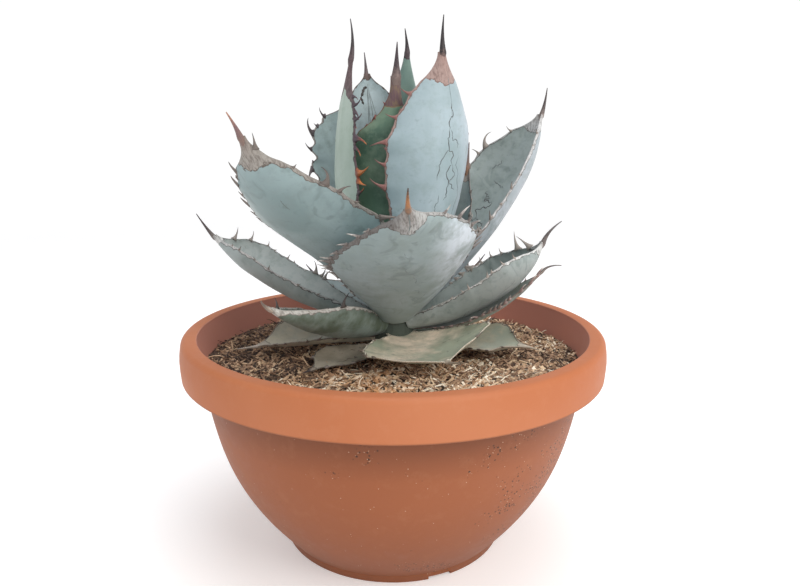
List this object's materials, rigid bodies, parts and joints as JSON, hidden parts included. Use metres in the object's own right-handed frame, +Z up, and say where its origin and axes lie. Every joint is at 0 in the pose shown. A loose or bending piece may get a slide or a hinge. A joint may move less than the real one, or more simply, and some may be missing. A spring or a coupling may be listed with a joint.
{
  "type": "potted agave",
  "caption": "Rosette of thick blue-grey agave leaves with toothed margins and dark end spines, standing in bark soil in a round terracotta-coloured bowl planter with a plain rim band.",
  "frame": {"origin": "on the pot's axis, at the bottom of its foot ring", "axes": "+Z up along the pot's axis, -Y towards the front of the plant, +X to its right"},
  "size_m": [0.4, 0.4, 0.4915],
  "materials": {
    "pot": "matte terracotta-coloured plastic, a little dusty",
    "soil": "loose bark and fibre mix",
    "stem": "dull fibrous stem",
    "leaf_young": "waxy deep green to blue-green leaf",
    "leaf_mature": "waxy pale blue-grey leaf with a grey-brown corky margin",
    "leaf_old": "dull grey-green leaf with scars",
    "leaf_dry": "dry beige-green old leaf"
  },
  "bodies": {
    "root": {"pot": "pot", "soil": "soil", "stem": "stem", "leaf_front_middle": "leaf_mature", "leaf_left_middle": "leaf_mature", "leaf_right_tall": "leaf_mature", "leaf_left_tall": "leaf_mature", "leaf_left_back": "leaf_mature", "leaf_back_tall": "leaf_young", "leaf_heart_front": "leaf_young", "leaf_heart_spear": "leaf_young", "leaf_right_middle": "leaf_mature", "leaf_right_low": "leaf_mature", "leaf_right_lower": "leaf_old", "leaf_left_low": "leaf_mature", "leaf_left_bottom": "leaf_old", "leaf_left_soil": "leaf_dry", "leaf_front_left_soil": "leaf_dry", "leaf_front_soil": "leaf_dry", "leaf_right_soil": "leaf_old", "leaf_back_right_low": "leaf_mature", "leaf_back_low": "leaf_mature", "leaf_back_left_low": "leaf_mature", "leaf_back_right": "leaf_mature", "leaf_back_middle": "leaf_mature"}
  },
  "joints": []
}
